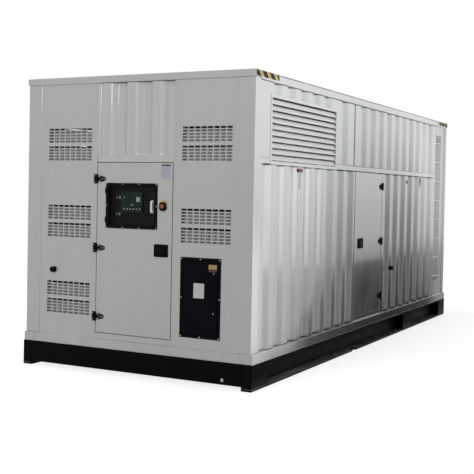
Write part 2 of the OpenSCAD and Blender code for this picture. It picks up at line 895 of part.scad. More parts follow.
// Flat wall round the ladder niche
module side_walls_rear() {
    color(white) both_sides() difference() {
        side_slab(niche_y0 - sheet, post_in_y, wall_z, rail_z, []);
        block([face_x - wall_t - 1, niche_y0 - sheet - 1, niche_z0 - sheet],
            [face_x + 1, niche_y1 + sheet, niche_z1 + sheet]);
    }
}

module rear_wall() {
    count = floor((post_in_x - trough_half - 20) / corr_pitch);
    troughs = [for (k = [-count : count]) k * corr_pitch];
    color(white) mirror([0, 1, 0]) {
        end_slab(-post_in_x, post_in_x, wall_z, mid_rail_z, troughs);
        difference() {
            end_slab(-post_in_x, post_in_x, mid_rail_z + mid_rail_h, header_z, troughs);
            block([-louvre_l / 2, -face_y - 1, mid_rail_z],
                [louvre_l / 2, wall_t - face_y + 1, louvre_z + louvre_h]);
        }
    }
}

// ---- louvres, made in the plane of the control end with the lower left corner at the origin ----

module louvre_frame() {
    w = louvre_frame_w;
    difference() {
        union() {
            block([-w, -4, -w], [louvre_l + w, 0, louvre_h + w]);
            block([0, -4, 0], [louvre_l, wall_t, louvre_h]);
        }
        block([sheet, -5, sheet], [louvre_l - sheet, wall_t + 1, louvre_h - sheet]);
    }
}

module louvre_blade_set() {
    for (k = [0 : louvre_blades - 1])
        translate([sheet, 0, louvre_gap + k * louvre_pitch]) rotate([90, 0, 90])
            linear_extrude(louvre_l - 2 * sheet) polygon([
                [-4, 0], [-4, -blade_t],
                [blade_reach, blade_rise - blade_t], [blade_reach, blade_rise]
            ]);
}

module each_louvre() {
    both_sides() translate([face_x, louvre_y0 + louvre_l, louvre_z]) on_side() children();
    mirror([0, 1, 0]) translate([-louvre_l / 2, -face_y, louvre_z]) children();
}

module louvre_frames() {
    color(white) each_louvre() louvre_frame();
}

module louvre_blades() {
    color(white) each_louvre() louvre_blade_set();
}

// ---- side doors ----

module side_door_leaf() {
    block([face_x - door_t, side_y0, door_z], [face_x, side_y1, mid_rail_z - door_gap]);
}

module side_handle() {
    translate([face_x, side_y0 + side_handle_inset, door_z + handle_h]) on_side() paddle_latch();
}

module right_door() {
    color(white) side_door_leaf();
}

module right_door_hinges() {
    color(black) side_hinge_places() leaf_hinge();
}

module right_door_handle() {
    color(black) side_handle();
}

module left_door() {
    color(white) mirror([1, 0, 0]) side_door_leaf();
}

module left_door_hinges() {
    color(black) mirror([1, 0, 0]) side_hinge_places() leaf_hinge();
}

module left_door_handle() {
    color(black) mirror([1, 0, 0]) side_handle();
}

module hinge_plates() {
    color(black) {
        access_hinge_places() frame_hinge();
        both_sides() side_hinge_places() frame_hinge();
    }
}

// Rubber buffers that stop the opened doors
module buffer() {
    rotate([90, 0, 0]) union() {
        cylinder(r = 28, h = 4, $fn = 32);
        translate([0, 0, 4]) cylinder(r = 22, h = 26, $fn = 32);
        translate([0, 0, 30]) cylinder(r = 25, h = 8, $fn = 32);
    }
}

module door_buffers() {
    reach = 483;
    rise = 548;
    side_reach = 354;
    side_rise = 440;
    color(black) {
        translate([door_x0 - reach, -face_y, door_z + rise]) buffer();
        both_sides() translate([face_x, side_y1 + side_reach, door_z + side_rise]) on_side() buffer();
    }
}

// ---- ladders ----

module ladder_niches() {
    color(white) both_sides() difference() {
        block([face_x - ladder_d - sheet, niche_y0 - sheet, niche_z0 - sheet],
            [face_x, niche_y1 + sheet, niche_z1 + sheet]);
        block([face_x - ladder_d, niche_y0, niche_z0], [face_x + 1, niche_y1, niche_z1]);
    }
}

module ladder_rungs() {
    color(white) both_sides() for (k = [0 : rung_count - 1])
        translate([face_x - rung_r - 3, niche_y1, rung_z + k * rung_pitch])
            rotate([90, 0, 0]) cylinder(r = rung_r, h = ladder_w, $fn = 24);
}

corner_feet();
base_side_beams();
base_end_beams();
cross_members();
floor_plate();
bottom_side_rails();
bottom_end_rails();
corner_posts();
top_side_rails();
end_headers();
roof_panel();
mid_rails();
front_wall_left();
front_wall_right();
front_wall_over_door();
door_sills();
door_stops();
vent_grilles();
vent_hoods();
access_door();
access_door_hinges();
access_door_handle();
control_housing();
instrument_plate();
controller();
gauges();
control_window_frame();
control_window();
window_handle();
stop_button_plate();
stop_button_guard();
stop_button();
cable_box();
cable_box_door();
cable_door_hinges();
cable_door_locks();
side_walls_lower();
side_walls_upper();
side_walls_rear();
rear_wall();
louvre_frames();
louvre_blades();
right_door();
right_door_hinges();
right_door_handle();
left_door();
left_door_hinges();
left_door_handle();
hinge_plates();
door_buffers();
ladder_niches();
ladder_rungs();
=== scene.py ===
import math
import random

import bmesh
import bpy
from mathutils import Matrix, Vector


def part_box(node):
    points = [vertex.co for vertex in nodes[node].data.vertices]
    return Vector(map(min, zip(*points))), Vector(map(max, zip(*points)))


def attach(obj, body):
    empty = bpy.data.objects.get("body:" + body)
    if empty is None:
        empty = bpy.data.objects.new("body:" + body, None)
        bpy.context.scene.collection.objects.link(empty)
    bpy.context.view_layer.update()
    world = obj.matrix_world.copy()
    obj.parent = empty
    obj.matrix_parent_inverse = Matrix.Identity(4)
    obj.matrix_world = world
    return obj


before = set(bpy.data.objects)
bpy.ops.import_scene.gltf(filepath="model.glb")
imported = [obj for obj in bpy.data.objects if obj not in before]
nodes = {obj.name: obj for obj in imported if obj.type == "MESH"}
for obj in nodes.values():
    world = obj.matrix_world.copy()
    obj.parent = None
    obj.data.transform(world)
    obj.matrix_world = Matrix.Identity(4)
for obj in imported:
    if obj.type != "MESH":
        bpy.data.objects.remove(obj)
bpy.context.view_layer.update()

# Lengths are in metres, and colours are linear RGB.
SIDE_FACE = 1.195      # outer faces of the long walls, from the middle plane
END_FACE = -3.009      # outer face of the control end
FRONT, RIGHT, LEFT = (0, -1, 0), (1, 0, 0), (-1, 0, 0)
SIDES = ((1, RIGHT), (-1, LEFT))
WHITE = (1, 1, 1)


# ---------------------------------------------------------------- node trees

class Tree:
    """The node tree of a material or a world, built with short calls."""

    def __init__(self, owner, output):
        owner.use_nodes = True
        self.links = owner.node_tree.links
        self.nodes = owner.node_tree.nodes
        self.nodes.clear()
        self.out = self.add(output)

    def add(self, kind, *inputs, **settings):
        node = self.nodes.new("ShaderNode" + kind)
        for key, value in settings.items():
            setattr(node, key, value)
        for socket, value in zip(node.inputs, inputs):
            self.put(socket, value)
        return node

    def put(self, socket, value):
        if isinstance(value, bpy.types.NodeSocket):
            self.links.new(value, socket)
        elif value is not None:
            socket.default_value = value

    def calc(self, operation, a, b=None):
        return self.add("Math", a, b, operation=operation).outputs[0]

    def times(self, product, *factors):
        """The product of several values."""
        for factor in factors:
            product = self.calc("MULTIPLY", product, factor)
        return product

    def seen(self):
        """1 for rays that show what is there: from the camera, off gloss or through glass."""
        path = self.add("LightPath")
        camera, glossy, through = (path.outputs[f"Is {kind} Ray"]
                                   for kind in ("Camera", "Glossy", "Transmission"))
        return self.calc("MAXIMUM", camera, self.calc("MAXIMUM", glossy, through))

    def blend_out(self, factor, first, second):
        """The output shows one shader, blended into another."""
        mixed = self.add("MixShader", factor, first.outputs[0], second.outputs[0])
        self.links.new(mixed.outputs[0], self.out.inputs["Surface"])


class Surface(Tree):
    """A material's tree, with object coordinates, noise, ramps and bumps at hand."""

    def __init__(self, name):
        self.material = bpy.data.materials.new(name)
        super().__init__(self.material, "OutputMaterial")
        self.coords = self.add("TexCoord").outputs["Object"]
        self.x, self.y, self.z = self.add("SeparateXYZ", self.coords).outputs

    def noise(self, scale=1.0, detail=3.0, rough=0.5, stretch=(1, 1, 1)):
        """Noise with features about 1 / (scale * stretch) long along each axis."""
        place = self.add("Mapping", self.coords)
        place.inputs["Scale"].default_value = stretch
        node = self.add("TexNoise")
        self.put(node.inputs["Vector"], place.outputs[0])
        node.inputs["Scale"].default_value = scale
        node.inputs["Detail"].default_value = detail
        node.inputs["Roughness"].default_value = rough
        return node.outputs["Fac"]

    def ramp(self, value, start, end, low=0.0, high=1.0):
        """Value from start to end, mapped smoothly to low to high."""
        node = self.add("MapRange", value, start, end, low, high,
                        interpolation_type="SMOOTHSTEP")
        return node.outputs["Result"]

    def mottle(self, start, end, low=0.0, high=1.0, **noise):
        """Noise from start to end, mapped smoothly to low to high."""
        return self.ramp(self.noise(**noise), start, end, low, high)

    def near(self, coordinate, middle, half, soft):
        """1 within half of middle along a coordinate, falling to 0 over soft."""
        away = self.calc("ABSOLUTE", self.calc("SUBTRACT", coordinate, middle))
        return self.ramp(away, half, half + soft, 1.0, 0.0)

    def patch(self, y, z, half_y, half_z, soft_y, soft_z):
        """A soft-edged patch in the plane of the long side."""
        return self.times(self.near(self.y, y, half_y, soft_y),
                          self.near(self.z, z, half_z, soft_z))

    def mix(self, factor, a, b):
        return self.add("MixRGB", factor, colour(a), colour(b)).outputs[0]

    def crevice(self, distance):
        """1 in the open, down to 0 in corners and gaps."""
        node = self.add("AmbientOcclusion", samples=6)
        node.inputs["Distance"].default_value = distance
        return node.outputs["AO"]

    def bump(self, height, strength, distance):
        node = self.add("Bump")
        node.inputs["Strength"].default_value = strength
        node.inputs["Distance"].default_value = distance
        self.put(node.inputs["Height"], height)
        return node.outputs[0]

    def finish(self, base, rough, normal, **constants):
        """The material, as one Principled shader with these inputs."""
        shader = self.add("BsdfPrincipled")
        self.put(shader.inputs["Base Color"], base)
        self.put(shader.inputs["Roughness"], rough)
        self.put(shader.inputs["Normal"], normal)
        for key, value in constants.items():
            shader.inputs[key.replace("_", " ")].default_value = value
        self.links.new(shader.outputs[0], self.out.inputs["Surface"])
        return self.material


def colour(value):
    """An RGB triple as RGBA; sockets pass through."""
    return (*value, 1.0) if isinstance(value, tuple) else value


def shade(tint, factor):
    return tuple(factor * c for c in tint)


# ---------------------------------------------------------------- materials

STREAK_GREY = (0.45, 0.46, 0.45)
SPLASH_GREY = (0.36, 0.36, 0.34)
# Grime with painted shade, in corners and gaps
CORNER_GREY = (0.24, 0.24, 0.23)
# Painted shade and painted dark reflection, low on the +X wall
PAINTED_SHADE_GREY = (0.12, 0.14, 0.135)
# Painted dark reflection, in two patches on the +X wall
PAINTED_REFLECTION_GREY = (0.08, 0.09, 0.09)
# Painted shade on the bottom rail of the +X wall
RAIL_SHADE_GREY = (0.10, 0.115, 0.10)
RUN_BROWN = (0.22, 0.20, 0.19)
SPLASH_TOP, SPLASH_LOW = 0.75, 0.22      # heights between which splashes thicken
IN_THE_WALL = 1.10                       # X inside the +X wall: its outer face is beyond this
RAIL_TOP = 0.345                         # upper edge of the bottom rail


def wall_dirt_and_shade(t, base):
    """The +X wall's painted shade and dirt: a film of painted shade and painted dark reflection low
    down, two patches of painted dark reflection, painted shade on the bottom rail, and a faint run
    of rust.
    """
    outside = t.ramp(t.x, IN_THE_WALL, 1.13)

    # The film is painted shade and painted dark reflection. It is thin from chest height down, and
    # thick below an edge that is low near the control end, rises along the wall and wavers. It
    # fades towards both ends.
    ends = t.times(t.ramp(t.y, -2.6, -1.7), t.ramp(t.y, 2.7, 2.0, 0.25, 1.0))
    wavy = t.times(t.calc("SUBTRACT", t.noise(stretch=(2.2, 2.2, 1.2)), 0.5), 0.5)
    edge = t.calc("ADD", t.ramp(t.y, -2.3, -0.95, 0.44, 1.06), wavy)
    thin = t.ramp(t.z, 1.90, 0.60, 0.0, 0.26)
    thick = t.ramp(t.calc("SUBTRACT", t.z, edge), 0.08, -0.12, 0.0, 0.40)
    uneven = t.mottle(0.30, 0.70, 0.65, 1.0, detail=2, stretch=(6, 6, 0.5))
    film = t.times(t.calc("ADD", thin, thick), uneven, t.times(ends, outside))
    base = t.mix(film, base, PAINTED_SHADE_GREY)

    # Two patches of painted dark reflection: one by the door, and one past it
    by_the_door = t.patch(y=-0.25, z=0.66, half_y=0.05, half_z=0.03, soft_y=0.30, soft_z=0.24)
    base = t.mix(t.times(by_the_door, 0.45, outside), base, PAINTED_REFLECTION_GREY)
    past_the_door = t.patch(y=0.80, z=0.55, half_y=0.45, half_z=0.10, soft_y=0.45, soft_z=0.45)
    base = t.mix(t.times(past_the_door, 0.38, outside), base, PAINTED_REFLECTION_GREY)

    # Painted shade over the bottom rail below its upper edge, fading out towards the control end
    rail = t.times(t.ramp(t.z, RAIL_TOP, RAIL_TOP - 0.020), t.ramp(t.y, -2.5, -1.7, 0.0, 0.8))
    base = t.mix(t.times(rail, outside), base, RAIL_SHADE_GREY)

    red_block_run = t.patch(y=-2.07, z=1.80, half_y=0.012, half_z=0.08, soft_y=0.02, soft_z=0.02)
    ragged_edge = t.mottle(0.25, 0.50, 0.4, 1.0, scale=38, detail=4, rough=0.6)
    run = t.times(red_block_run, ragged_edge, t.ramp(t.x, IN_THE_WALL, 1.14))
    return t.mix(t.times(run, 0.7), base, RUN_BROWN)


def white_paint(name, tint=(0.64, 0.65, 0.63), wall=False, corner_grime_and_shade=1.0):
    """Glossy white paint with faint rain streaks, splashes low down, and grime with painted shade
    in corners.
    """
    t = Surface(name)
    tone = t.mottle(0.3, 0.7, scale=0.5, detail=1, rough=0.4)
    base = t.mix(tone, tint, shade(tint, 0.97))
    streaks = t.mottle(0.45, 0.80, detail=2, stretch=(7, 7, 0.25))
    base = t.mix(t.times(streaks, 0.10), base, STREAK_GREY)
    splash = t.mottle(0.25, 0.80, detail=2, stretch=(5, 5, 1.5))
    low_down = t.ramp(t.z, SPLASH_TOP, SPLASH_LOW)
    base = t.mix(t.times(low_down, splash, 0.20), base, SPLASH_GREY)
    if wall:
        base = wall_dirt_and_shade(t, base)
    # Grime with painted shade: darker in corners and gaps, from ambient occlusion
    if corner_grime_and_shade:
        corners = t.ramp(t.crevice(0.09), 0.35, 0.85, 0.32 * corner_grime_and_shade, 0.0)
        base = t.mix(corners, base, CORNER_GREY)
    rough = t.mottle(0.3, 0.7, 0.18, 0.24, detail=2, stretch=(3, 3, 0.8))
    peel = t.bump(t.noise(260, detail=1), strength=0.06, distance=0.0005)
    return t.finish(base, rough, peel, Coat_Weight=1.0, Coat_Roughness=0.06)


FLANGE_TOP, WEB_OUT = 0.020, 1.125       # of the base's side channels: Z, and X either way


def black_paint(name, tint, rough, dust, grain=700, flange=False):
    """Half-matt black with dust and scratches. Flange adds dust with a painted highlight on the top
    faces of the base's lower flanges.
    """
    t = Surface(name)
    uneven = t.mottle(0.35, 0.7, scale=4.0, detail=5, rough=0.6)
    base = t.mix(uneven, tint, shade(tint, 1.7))
    film = t.mottle(0.45, 0.75, scale=9, detail=6, rough=0.7)
    base = t.mix(t.times(film, dust, 0.10), base, (0.06, 0.06, 0.058))
    scratches = t.mottle(0.66, 0.72, detail=6, rough=0.75, stretch=(7, 7, 60))
    base = t.mix(t.times(scratches, 0.2 * dust), base, (0.10, 0.10, 0.10))
    if flange:
        # Dust with a painted highlight: the lit top faces of the lower flanges are painted paler
        on_top = t.near(t.z, FLANGE_TOP, 0.001, 0.001)
        beyond_web = t.ramp(t.calc("ABSOLUTE", t.x), WEB_OUT, WEB_OUT + 0.010)
        patchy = t.mottle(0.30, 0.60, 0.4, 1.0, rough=0.6, stretch=(4, 2.5, 1))
        base = t.mix(t.times(on_top, beyond_web, patchy), base, (0.34, 0.34, 0.37))
    rough = t.mottle(0.3, 0.7, *rough, scale=14, detail=4, rough=0.6)
    pebble = t.bump(t.noise(grain, detail=2), strength=0.25, distance=0.0004)
    return t.finish(base, rough, pebble, IOR=1.10)


def chequer_plate(name):
    """Grey floor paint over a raised two-way tread."""
    t = Surface(name)
    bars = []
    for turn in (math.pi / 4, -math.pi / 4):
        place = t.add("Mapping", t.coords)
        place.inputs["Rotation"].default_value = (0, 0, turn)
        place.inputs["Scale"].default_value = (34, 11, 1)
        cell = t.add("TexVoronoi", feature="F1")
        t.put(cell.inputs["Vector"], place.outputs[0])
        cell.inputs["Scale"].default_value = 1.0
        cell.inputs["Randomness"].default_value = 0.0
        bars.append(t.ramp(cell.outputs["Distance"], 0.34, 0.24))
    tread = t.calc("MAXIMUM", *bars)
    trodden = t.mottle(0.35, 0.7, scale=3, detail=5, rough=0.6)
    base = t.mix(trodden, (0.22, 0.23, 0.24), (0.15, 0.155, 0.16))
    base = t.mix(t.times(tread, 0.5), base, (0.36, 0.37, 0.38))
    rough = t.mottle(0.3, 0.7, 0.38, 0.6, scale=20)
    return t.finish(base, rough, t.bump(tread, strength=0.6, distance=0.0015))


def metal(name, tint=(0.62, 0.62, 0.61), rough=0.28):
    """Brushed metal, a little uneven in tone."""
    t = Surface(name)
    base = t.mix(t.mottle(0.3, 0.7, scale=60, detail=4, rough=0.6), tint, shade(tint, 0.72))
    brushed = t.noise(rough=0.6, stretch=(2600, 90, 90))
    return t.finish(base, t.ramp(brushed, 0.2, 0.8, rough - 0.06, rough + 0.12),
                    t.bump(brushed, strength=0.08, distance=0.0002), Metallic=1.0)


def plastic(name, tint, rough, grain=900, ior=1.5):
    """Moulded plastic or a matt coat, uneven in tone, with a fine grain."""
    t = Surface(name)
    base = t.mix(t.mottle(0.3, 0.7, scale=25, detail=4, rough=0.6), tint, shade(tint, 0.8))
    return t.finish(base, t.mottle(0.3, 0.7, rough - 0.06, rough + 0.08, scale=60),
                    t.bump(t.noise(grain, detail=2), strength=0.12, distance=0.0003), IOR=ior)


def pane(name):
    """A clear panel, a little smoky, with a film of dust and fine wipe marks."""
    t = Surface(name)
    film = t.mottle(0.40, 0.80, detail=5, rough=0.6, stretch=(22, 22, 6))
    base = t.mix(film, (0.006, 0.010, 0.009), (0.025, 0.028, 0.028))
    return t.finish(base, t.ramp(film, 0.0, 1.0, 0.03, 0.12),
                    t.bump(t.noise(9, detail=2), strength=0.05, distance=0.001),
                    Alpha=0.14, Specular_IOR_Level=0.10)


def plate_paint(name, tint, bands=(), rough=0.35):
    """Paint on a small plate, with bands across it: (lower edge, upper edge, colour)."""
    t = Surface(name)
    base = t.mix(t.mottle(0.3, 0.7, scale=30, detail=4), tint, shade(tint, 0.9))
    for low, high, band in bands:
        inside = t.near(t.z, (low + high) / 2, (high - low) / 2, 0.0008)
        base = t.mix(inside, base, band)
    return t.finish(base, t.mottle(0.3, 0.7, rough - 0.05, rough + 0.1, scale=50),
                    t.bump(t.noise(500, detail=2), strength=0.08, distance=0.0003))


def hazard_tape(name):
    """Yellow and black diagonal bands, in the plane of the long side."""
    half_pitch, shift, dark_from, dark_to = 0.0706, 0.105, 0.0309, 0.0327
    t = Surface(name)
    along = t.calc("ADD", t.calc("ADD", t.y, t.x), t.z)
    wave = t.calc("PINGPONG", t.calc("SUBTRACT", along, shift), half_pitch)
    ragged_edge = t.mottle(0.3, 0.7, -0.002, 0.002, scale=60)
    dark = t.ramp(t.calc("ADD", wave, ragged_edge), dark_from, dark_to)
    worn = t.mottle(0.40, 0.72, scale=18, detail=5, rough=0.65)
    yellow = t.mix(worn, (0.54, 0.42, 0.13), (0.44, 0.37, 0.17))
    black = t.mix(worn, (0.008, 0.008, 0.008), (0.03, 0.028, 0.025))
    return t.finish(t.mix(dark, yellow, black), t.ramp(worn, 0, 1, 0.35, 0.5),
                    t.bump(t.noise(90), strength=0.1, distance=0.0004), IOR=1.2)


PAINT = white_paint("white_paint")
# The long walls' paint; low on the +X wall it carries painted shade and painted dark reflection
WALL = white_paint("white_wall_paint", (0.62, 0.65, 0.645), wall=True)
# Painted light: a slightly lighter copy of the white paint on the top and middle rails
RAIL_LIT = white_paint("rail_painted_light", (0.66, 0.67, 0.655))
# Painted shade: a darker copy of the white paint on the louvre blades
BLADE_SHADED = white_paint("blade_painted_shade", (0.57, 0.58, 0.57), corner_grime_and_shade=0.4)
# Painted light: a lighter copy of the white paint, with less corner shade, for the panel over the
# door and its fillet
PANEL_LIT = white_paint("panel_painted_light", (0.70, 0.705, 0.68), corner_grime_and_shade=0.25)
# Painted light: a much lighter copy of the white paint, without corner shade, for the shaded ladder
# niches
NICHE_LIT = white_paint("niche_painted_light", (0.86, 0.88, 0.86), corner_grime_and_shade=0.0)
BASE = black_paint("base_black", (0.002, 0.0023, 0.0028), (0.34, 0.50), dust=0.25, flange=True)
HARDWARE = black_paint("hardware_black", (0.006, 0.0065, 0.007), (0.36, 0.5), dust=0.3, grain=1400)
CABINET = black_paint("cabinet_black", (0.003, 0.0035, 0.005), (0.34, 0.46), dust=0.12, grain=1100)
RUBBER = black_paint("buffer_rubber", (0.006, 0.006, 0.006), (0.5, 0.65), dust=0.2, grain=500)
FLOOR = chequer_plate("floor_grey")
BRIGHT = metal("bright_metal")
ZINC = metal("zinc_screw", (0.42, 0.42, 0.41), rough=0.38)
DULL = metal("dull_metal", (0.11, 0.11, 0.11), rough=0.42)
# Painted shade: the lining behind the grilles is a darker grey, which darkens the holes
LINING_SHADED = plastic("hood_lining", (0.58, 0.59, 0.57), rough=0.75, grain=300, ior=1.2)
DARK = plastic("instrument_dark", (0.007, 0.0095, 0.011), rough=0.42, ior=1.22)
CONTROLLER = plastic("controller_dark", (0.016, 0.040, 0.032), rough=0.36, ior=1.25)
GAUGE = plastic("gauge_grey", (0.020, 0.024, 0.026), rough=0.35, ior=1.25)
YELLOW = plastic("signal_yellow", (0.80, 0.56, 0.07), rough=0.36)
RED = plastic("signal_red", (0.46, 0.075, 0.040), rough=0.30)
DARK_RED = plastic("dark_red", (0.16, 0.015, 0.02), rough=0.45)
PALE = plastic("pale_mark", (0.86, 0.88, 0.86), rough=0.35)
RUST = plastic("rust_run", (0.115, 0.070, 0.048), rough=0.75, grain=300, ior=1.1)
# Dark dashes along the long sides; under the middle rails they are painted shadow
DARK_DASH = plastic("dark_dash_paint", (0.10, 0.10, 0.098), rough=0.6, grain=400, ior=1.2)
GLASS = pane("window_glass")
TAPE = hazard_tape("hazard_tape")
SCREEN = plate_paint("controller_screen", (0.80, 0.86, 0.83), rough=0.2)
WHITE_PLATE = plate_paint("white_plate", (0.78, 0.78, 0.76))
GREY_TAG = plate_paint("grey_tag", (0.42, 0.42, 0.43))
YELLOW_TAG = plate_paint("yellow_tag", (0.50, 0.36, 0.11), [(0.980, 1.007, (0.055, 0.005, 0.010))])
RATING = plate_paint("rating_plate", (0.56, 0.55, 0.64), [(1.886, 1.900, (0.035, 0.040, 0.085))])

# The CAD nodes that each material goes on. All others are in plain white paint.
FINISHES = {
    WALL: ("side_walls_lower", "side_walls_upper", "side_walls_rear", "right_door", "left_door",
           "door_sills", "bottom_side_rails"),
    RAIL_LIT: ("top_side_rails", "mid_rails"),
    BLADE_SHADED: ("louvre_blades",),
    PANEL_LIT: ("front_wall_over_door",),
    NICHE_LIT: ("ladder_niches", "ladder_rungs"),
    BASE: ("corner_feet", "base_side_beams", "base_end_beams", "cross_members"),
    FLOOR: ("floor_plate",),
    LINING_SHADED: ("vent_hoods",),
    HARDWARE: ("access_door_hinges", "access_door_handle", "stop_button_guard",
               "cable_door_hinges", "right_door_hinges", "right_door_handle",
               "left_door_hinges", "left_door_handle", "hinge_plates",
               "control_window_frame", "control_housing"),
    CABINET: ("cable_box", "cable_box_door"),
    DARK: ("instrument_plate",),
    CONTROLLER: ("controller",),
    GAUGE: ("gauges",),
    GLASS: ("control_window",),
    BRIGHT: ("window_handle",),
    DULL: ("cable_door_locks",),
    YELLOW: ("stop_button_plate",),
    RED: ("stop_button",),
    RUBBER: ("door_buffers",),
}
finish_of = {node: finish for finish, names in FINISHES.items() for node in names}

# Bend radii of folded panels, and the broken edges of the rest
EDGES = {
    "side_walls_lower": 0.010, "side_walls_upper": 0.007, "rear_wall": 0.010,
    "front_wall_over_door": 0.010, "roof_panel": 0.008, "top_side_rails": 0.005,
    "end_headers": 0.005, "corner_posts": 0.005, "bottom_side_rails": 0.004,
    "bottom_end_rails": 0.004, "corner_feet": 0.005, "base_end_beams": 0.005,
    "base_side_beams": 0.004, "mid_rails": 0.003, "access_door": 0.0025,
    "right_door": 0.003, "left_door": 0.003, "door_sills": 0.002,
    "cable_box_door": 0.0025, "louvre_frames": 0.002, "control_window_frame": 0.0015,
    "stop_button_guard": 0.0015, "access_door_handle": 0.001, "right_door_handle": 0.001,
    "left_door_handle": 0.001, "controller": 0.0015,
}
WELD = 0.00005         # corners of the CAD mesh closer than this are one
FLAT_ANGLE = 0.5       # faces that meet at fewer degrees are one flat face
SHARP_ANGLE = 28       # edges that turn by more degrees are rounded


def soften(obj, width):
    """Rounds the hard edges of a CAD node with modifiers, so its own mesh stays as it is."""
    weld = obj.modifiers.new("weld", "WELD")
    weld.merge_threshold = WELD
    flat = obj.modifiers.new("planar", "DECIMATE")
    flat.decimate_type = "DISSOLVE"
    flat.angle_limit = math.radians(FLAT_ANGLE)
    bevel = obj.modifiers.new("bevel", "BEVEL")
    bevel.width = width
    bevel.segments = 2
    bevel.limit_method = "ANGLE"
    bevel.angle_limit = math.radians(SHARP_ANGLE)
    normals = obj.modifiers.new("normals", "WEIGHTED_NORMAL")
    normals.keep_sharp = True


for name, obj in nodes.items():
    obj.data.materials.clear()
    obj.data.materials.append(finish_of.get(name, PAINT))
    if name in EDGES:
        soften(obj, EDGES[name])


# ---------------------------------------------------------------- mesh tools

SEAT = 0.0004          # how deep a turned piece sits in the face that carries it
PLATE_THICK = 0.001    # of the blank plates
MARK_THICK = 0.0008    # of the pale marks on the instruments
FILM_THICK = 0.0006    # of tape, the dark dashes and the tag on the foot
EASED = 0.0006         # the most that a thin plate's rim is broken


def linked(name, mesh, material):
    """A finished bmesh as an object in the scene."""
    data = bpy.data.meshes.new(name)
    mesh.to_mesh(data)
    mesh.free()
    data.materials.append(material)
    obj = bpy.data.objects.new(name, data)
    bpy.context.scene.collection.objects.link(obj)
    return obj


def piece(name, mesh, material, body):
    """A finished bmesh as a piece that rides on a body."""
    bmesh.ops.recalc_face_normals(mesh, faces=mesh.faces)
    obj = linked(name, mesh, material)
    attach(obj, body)


def seated(point, normal):
    """Turns +Z to the normal, keeps local Y as near up as can be, and moves to the point."""
    turn = Vector(normal).to_track_quat("Z", "Y").to_matrix().to_4x4()
    return Matrix.Translation(point) @ turn


def skin(mesh, rows):
    """Joins rows of corners into a closed solid, with a cap at each end."""
    rows = [[mesh.verts.new(corner) for corner in row] for row in rows]
    for lower, upper in zip(rows, rows[1:]):
        for k in range(len(lower)):
            following = (k + 1) % len(lower)
            mesh.faces.new((lower[k], lower[following], upper[following], upper[k]))
    mesh.faces.new(rows[0][::-1])
    mesh.faces.new(rows[-1])


def turned(mesh, profile, count, place):
    """A turned solid: (radius, height) pairs, from the seat outwards."""
    turns = [2 * math.pi * k / count for k in range(count)]
    skin(mesh, [[place @ Vector((radius * math.cos(turn), radius * math.sin(turn), height))
                 for turn in turns] for radius, height in profile])


def pan_head(mesh, place, radius):
    """A domed screw head with a socket."""
    high = 0.62 * radius
    turned(mesh, [(radius, -SEAT), (radius, 0.25 * high), (0.93 * radius, 0.55 * high),
                  (0.76 * radius, 0.84 * high), (0.52 * radius, high), (0.44 * radius, high),
                  (0.40 * radius, 0.45 * high)], 12, place)


def hex_head(mesh, place, radius):
    """A hexagon head on a washer."""
    washer, high = 1.35 * radius, 0.16 * radius
    turned(mesh, [(washer, -SEAT), (washer, high)], 20, place)
    turned(mesh, [(radius, high), (radius, 0.72 * radius), (0.88 * radius, 0.82 * radius)],
           6, place)


def heads(name, body, places, radius, material, make=pan_head):
    """Many screw heads in one piece. Each place is (point, outward normal)."""
    mesh = bmesh.new()
    spin = random.Random(len(places) * 7 + 3)
    for point, normal in places:
        turn = Matrix.Rotation(spin.uniform(0, math.pi), 4, "Z")
        make(mesh, seated(point, normal) @ turn, radius)
    piece(name, mesh, material, body)


def thin_plate(mesh, low, high, thick, normal, corner):
    """A plate with round corners on a flat wall, between two corners that share a plane."""
    low, high = Vector(low), Vector(high)
    place = seated((low + high) / 2, normal)
    half = place.inverted() @ high
    w, h = abs(half.x), abs(half.y)
    steps = 4
    outline = []
    for sx, sy, quarter in ((1, 1, 0), (-1, 1, 1), (-1, -1, 2), (1, -1, 3)):
        for k in range(steps + 1):
            turn = (quarter + k / steps) * math.pi / 2
            outline.append((sx * (w - corner) + corner * math.cos(turn),
                            sy * (h - corner) + corner * math.sin(turn)))
    ease = min(0.3 * thick, EASED)
    layers = ((1, 0.0), (1, thick - ease), (1 - ease / max(w, h), thick))
    skin(mesh, [[place @ Vector((u * size, v * size, out)) for u, v in outline]
                for size, out in layers])


def plate(name, body, low, high, thick, normal, material, corner):
    """One thin plate as a piece."""
    mesh = bmesh.new()
    thin_plate(mesh, low, high, thick, normal, corner)
    piece(name, mesh, material, body)


# ---------------------------------------------------------------- screws

# Radii of the heads
FLANGE_SCREW, HINGE_SCREW, RIVET, STUD = 0.0065, 0.0055, 0.0022, 0.011

# Control window frame. The node's own left side is that of its small hinges.
frame_low, frame_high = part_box("control_window_frame")
frame_thick, frame_left, inset_x, inset_z, spacing = 0.006, -0.301, 0.010, 0.009, 0.176
first, last = frame_left + inset_x, frame_high.x - inset_x
spots = [(x, z) for z in (frame_low.z + inset_z, frame_high.z - inset_z)
         for x in (first, first + spacing, first + 2 * spacing, last)]
spots += [(first, 1.532), (last, 1.530)]      # about halfway up
heads("window_frame_screws", "access_door",
      [((x, END_FACE - frame_thick, z), FRONT) for x, z in spots], FLANGE_SCREW, ZINC)

# Cable box flange
box_low, box_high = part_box("cable_box")
flange_thick, inset, middle_x, middle_z = 0.004, 0.013, 0.700, 0.750
bottom, top = box_low.z + inset, box_high.z - inset
spots = [(x, z) for x in (box_low.x + inset, box_high.x - inset) for z in (bottom, middle_z, top)]
spots += [(middle_x, bottom), (middle_x, top)]
heads("cable_box_screws", "enclosure",
      [((x, END_FACE - flange_thick, z), FRONT) for x, z in spots], FLANGE_SCREW, ZINC)

